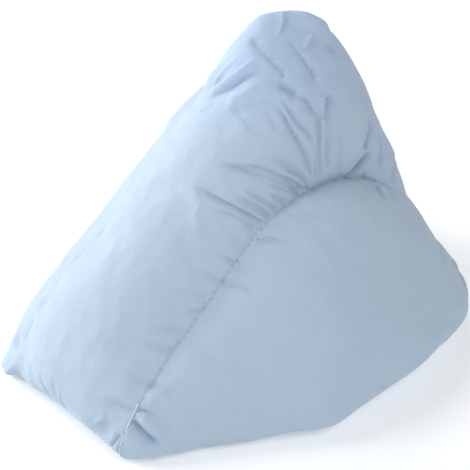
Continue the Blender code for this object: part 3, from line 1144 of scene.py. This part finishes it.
closing_line, closing_up = closing_path()
closing_thread = make_mesh("closing_thread", *tube(closing_line, closing_up, CLOSING_RADIUS))
print("closing thread: %.0f mm" % (
    np.linalg.norm(np.diff(closing_line, axis=0), axis=1).sum() / MM))

# %% [markdown]
# ## Writing materials as expressions
# A node tree is hard to read as a list of links. This small class wraps a socket, so that
# sums and products of sockets can be written as ordinary Python, and each one adds its Math
# node. Everything else is added by name with its settings and the values of its sockets.

# %% Sockets as numbers
class Value:
    """A socket in a material that can be used in sums."""

    def __init__(self, tree, socket):
        self.tree = tree
        self.socket = socket

    def maths(self, operation, *others, swapped=False):
        node = self.tree.nodes.new("ShaderNodeMath")
        node.operation = operation
        terms = [self, *others][::-1] if swapped else [self, *others]
        for slot, term in enumerate(terms):
            if isinstance(term, Value):
                self.tree.links.new(term.socket, node.inputs[slot])
            else:
                node.inputs[slot].default_value = term
        return Value(self.tree, node.outputs[0])

    def held(self):
        """The same value, kept between 0 and 1."""
        return self.maths("MINIMUM", 1.0).maths("MAXIMUM", 0.0)

    def __add__(self, other):
        return self.maths("ADD", other)

    def __sub__(self, other):
        return self.maths("SUBTRACT", other)

    def __rsub__(self, other):
        return self.maths("SUBTRACT", other, swapped=True)

    def __mul__(self, other):
        return self.maths("MULTIPLY", other)

    __radd__ = __add__
    __rmul__ = __mul__


class Finish:
    """A material on a Principled shader, built from named nodes."""

    def __init__(self, name, **constants):
        self.material = bpy.data.materials.new(name)
        self.material.use_nodes = True
        self.tree = self.material.node_tree
        self.shader = self.tree.nodes["Principled BSDF"]
        for socket, value in constants.items():
            self.shader.inputs[socket.replace("_", " ")].default_value = value

    def add(self, kind, settings=None, output=0, **sockets):
        """Add a node: its type, its settings, then the values or links of its sockets."""
        node = self.tree.nodes.new("ShaderNode" + kind)
        for name, value in (settings or {}).items():
            setattr(node, name, value)
        for name, value in sockets.items():
            self.put(node, name, value)
        return Value(self.tree, node.outputs[output])

    def put(self, node, name, value):
        key = int(name[1:]) if name[1:].isdigit() and name[0] == "i" else name.replace("_", " ")
        if isinstance(value, Value):
            self.tree.links.new(value.socket, node.inputs[key])
        else:
            node.inputs[key].default_value = value

    def blend(self, share, first, second):
        """A colour between two others."""
        colours = [c if isinstance(c, Value) else (*c, 1) for c in (first, second)]
        return self.add(
            "Mix", {"data_type": "RGBA"}, output=2, i0=share, i6=colours[0], i7=colours[1])

    def feed(self, **sockets):
        """Link values to the shader's own sockets."""
        for name, value in sockets.items():
            self.put(self.shader, name, value)

# %% [markdown]
# ## The cotton
# The cover is a fine, softly matte cotton. Three things make it: a plain weave of warp and
# weft, threads that are now and then thicker than their neighbours, and the small crinkles
# that washed cotton keeps, deeper at the crest where it is bunched. The weave follows the
# pattern pieces through their own coordinates, so it turns at the seams as cut cloth does. A
# faint sheen lightens the grazing edges. Painted shade darkens the folds, and painted light
# makes the top of the crest a little paler and bluer than the slope below.

# %% Cotton material
COTTON = (0.400, 0.500, 0.621)
# painted shade: the darker, bluer colour given to the cloth deep in a fold
COTTON_FOLD_SHADE = (0.275, 0.375, 0.515)
COTTON_PALE = (0.424, 0.521, 0.636)
# painted light: the paler, bluer colour given to the top of the crest
COTTON_TOP_LIGHT = (0.425, 0.545, 0.71)
WEAVE_PITCH = 0.42 * MM
SLUB_WIDTH = 0.6 * MM
SLUB_LENGTH = 20 * MM
CRINKLE_SIZE = 9 * MM
DENT_SIZE = 28 * MM
PATCH_SIZE = 45 * MM
CREST_BOTTOM = 130 * MM
CREST_RAMP = 14.0
# the painted light on the crest top starts at this height and ramps up above it
TOP_LIGHT_BOTTOM = 175 * MM
TOP_LIGHT_RAMP = 25.0


def cotton_finish():
    """The cover's cloth."""
    finish = Finish(
        "cotton", Sheen_Weight=0.22, Sheen_Roughness=0.45, Sheen_Tint=(0.9, 0.95, 1.0, 1),
        Specular_IOR_Level=0.32,
    )
    laid = finish.add("UVMap", {"uv_map": "cloth"})
    warp_place = finish.add("SeparateXYZ", output=0, Vector=laid)
    weft_place = finish.add("SeparateXYZ", output=1, Vector=laid)
    place = finish.add("TexCoord", output=3)
    up = finish.add("SeparateXYZ", output=2, Vector=place)
    on_crest = ((up - CREST_BOTTOM) * CREST_RAMP).held()
    # painted light: where the top of the crest is made paler and bluer
    top_light_mask = ((up - TOP_LIGHT_BOTTOM) * TOP_LIGHT_RAMP).held()
    waves = 2 * math.pi / WEAVE_PITCH
    warp = (warp_place * waves).maths("SINE")
    weft = (weft_place * waves).maths("SINE")
    weave = warp * weft
    long_warp = finish.add("Mapping", Vector=laid, Scale=(1 / SLUB_WIDTH, 1 / SLUB_LENGTH, 1))
    long_weft = finish.add("Mapping", Vector=laid, Scale=(1 / SLUB_LENGTH, 1 / SLUB_WIDTH, 1))
    thick_warp = finish.add("TexNoise", Vector=long_warp, Scale=1.0, Detail=1.0)
    thick_weft = finish.add("TexNoise", Vector=long_weft, Scale=1.0, Detail=1.0)
    slubs = thick_warp + thick_weft - 1.0
    crinkle, dents, patches = (
        finish.add("TexNoise", Vector=place, Scale=1 / size, Detail=detail, Roughness=rough)
        for size, detail, rough in (
            (CRINKLE_SIZE, 3.0, 0.55), (DENT_SIZE, 2.0, 0.5), (PATCH_SIZE, 2.5, 0.6),
        )
    )
    # painted shade: how deep each point sits in a fold
    fold_shade = finish.add("Attribute", {"attribute_name": "fold_shade"}, output=2)
    tone = (patches - 0.5) * 0.9 + slubs * 0.35 + (crinkle - 0.5) * 0.25 + 0.5
    dyed = finish.blend(tone.held(), COTTON, COTTON_PALE)
    # painted light on the crest top
    top_lit_colour = finish.blend(top_light_mask, dyed, COTTON_TOP_LIGHT)
    # painted shade: the folds are darkened in the base colour
    shaded = finish.blend(fold_shade, top_lit_colour, COTTON_FOLD_SHADE)
    rumpled = crinkle * (0.45 + on_crest * 0.25) + dents * (0.5 + on_crest * 1.6)
    height = weave * 0.012 + slubs * 0.06 + rumpled
    bump = finish.add("Bump", Strength=1.0, Distance=MM, Height=height)
    rough = 0.78 + slubs * 0.1 + (crinkle - 0.5) * 0.12
    finish.feed(Base_Color=shaded, Roughness=rough, Normal=bump)
    return finish.material

# %% Thread materials
def thread_finish(name, colour, pale, twist):
    """Twisted sewing thread: fine diagonal plies in two close shades."""
    finish = Finish(name, Sheen_Weight=0.3, Sheen_Roughness=0.4)
    place = finish.add("TexCoord", output=3)
    plies = finish.add(
        "TexWave", {"wave_type": "BANDS", "bands_direction": "DIAGONAL"},
        Vector=place, Scale=twist, Distortion=1.5, Detail=1.0)
    fuzz = finish.add("TexNoise", Vector=place, Scale=2600.0, Detail=2.0)
    mixed = finish.blend(plies, colour, pale)
    height = plies * 0.7 + fuzz * 0.3
    bump = finish.add("Bump", Strength=0.6, Distance=0.1 * MM, Height=height)
    finish.feed(Base_Color=mixed, Roughness=0.55 + fuzz * 0.2, Normal=bump)
    return finish.material


cotton = cotton_finish()
# the blue thread is a shade darker than the cloth: partly the thread's own colour, partly painted
# shade of the stitch holes
blue_thread = thread_finish("blue_thread", (0.35, 0.44, 0.56), (0.42, 0.52, 0.64), 900.0)
white_thread = thread_finish("white_thread", (0.86, 0.88, 0.90), (0.98, 0.98, 0.98), 500.0)
print("materials:", cotton.name, blue_thread.name, white_thread.name)

# %% [markdown]
# ## Handing the pieces over
# Everything rides on the one body. The cover stands in for the measured solid, and it is
# padded: loosely filled cloth that gives, which is why it may differ a little from it. The
# threads only lie on it.

# %% Dressing the frame
for piece, finish in (
    (cover, cotton), (seam_stitches, blue_thread), (closing_thread, white_thread),
):
    piece.data.materials.clear()
    piece.data.materials.append(finish)
    piece.data.shade_smooth()
    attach(piece, "root")
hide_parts("cushion")
